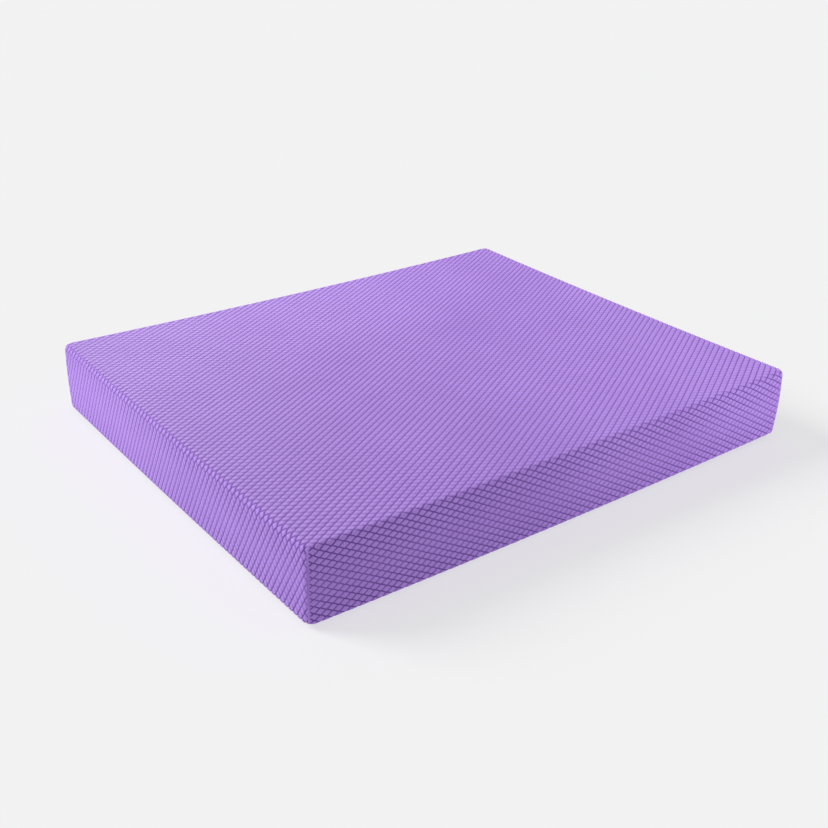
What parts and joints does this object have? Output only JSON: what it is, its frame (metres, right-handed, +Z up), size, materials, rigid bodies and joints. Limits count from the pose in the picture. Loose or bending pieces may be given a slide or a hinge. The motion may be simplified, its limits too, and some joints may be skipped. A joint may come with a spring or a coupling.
{
  "type": "balance pad",
  "caption": "Rectangular foam balance pad with rounded edges and a small raised diamond texture, laid flat on the floor for standing and kneeling exercises.",
  "frame": {"origin": "middle of the underside, on the floor", "axes": "+X along the long side, +Y along the short side, +Z up through the thickness"},
  "size_m": [0.4, 0.33, 0.05],
  "materials": {
    "skin_foam": "satin",
    "core_foam": "matte"
  },
  "bodies": {
    "root": {"upper_skin": "skin_foam", "lower_skin": "skin_foam", "core_sheet_1": "core_foam", "core_sheet_2": "core_foam", "core_sheet_3": "core_foam", "core_sheet_4": "core_foam", "core_sheet_5": "core_foam"}
  },
  "joints": []
}
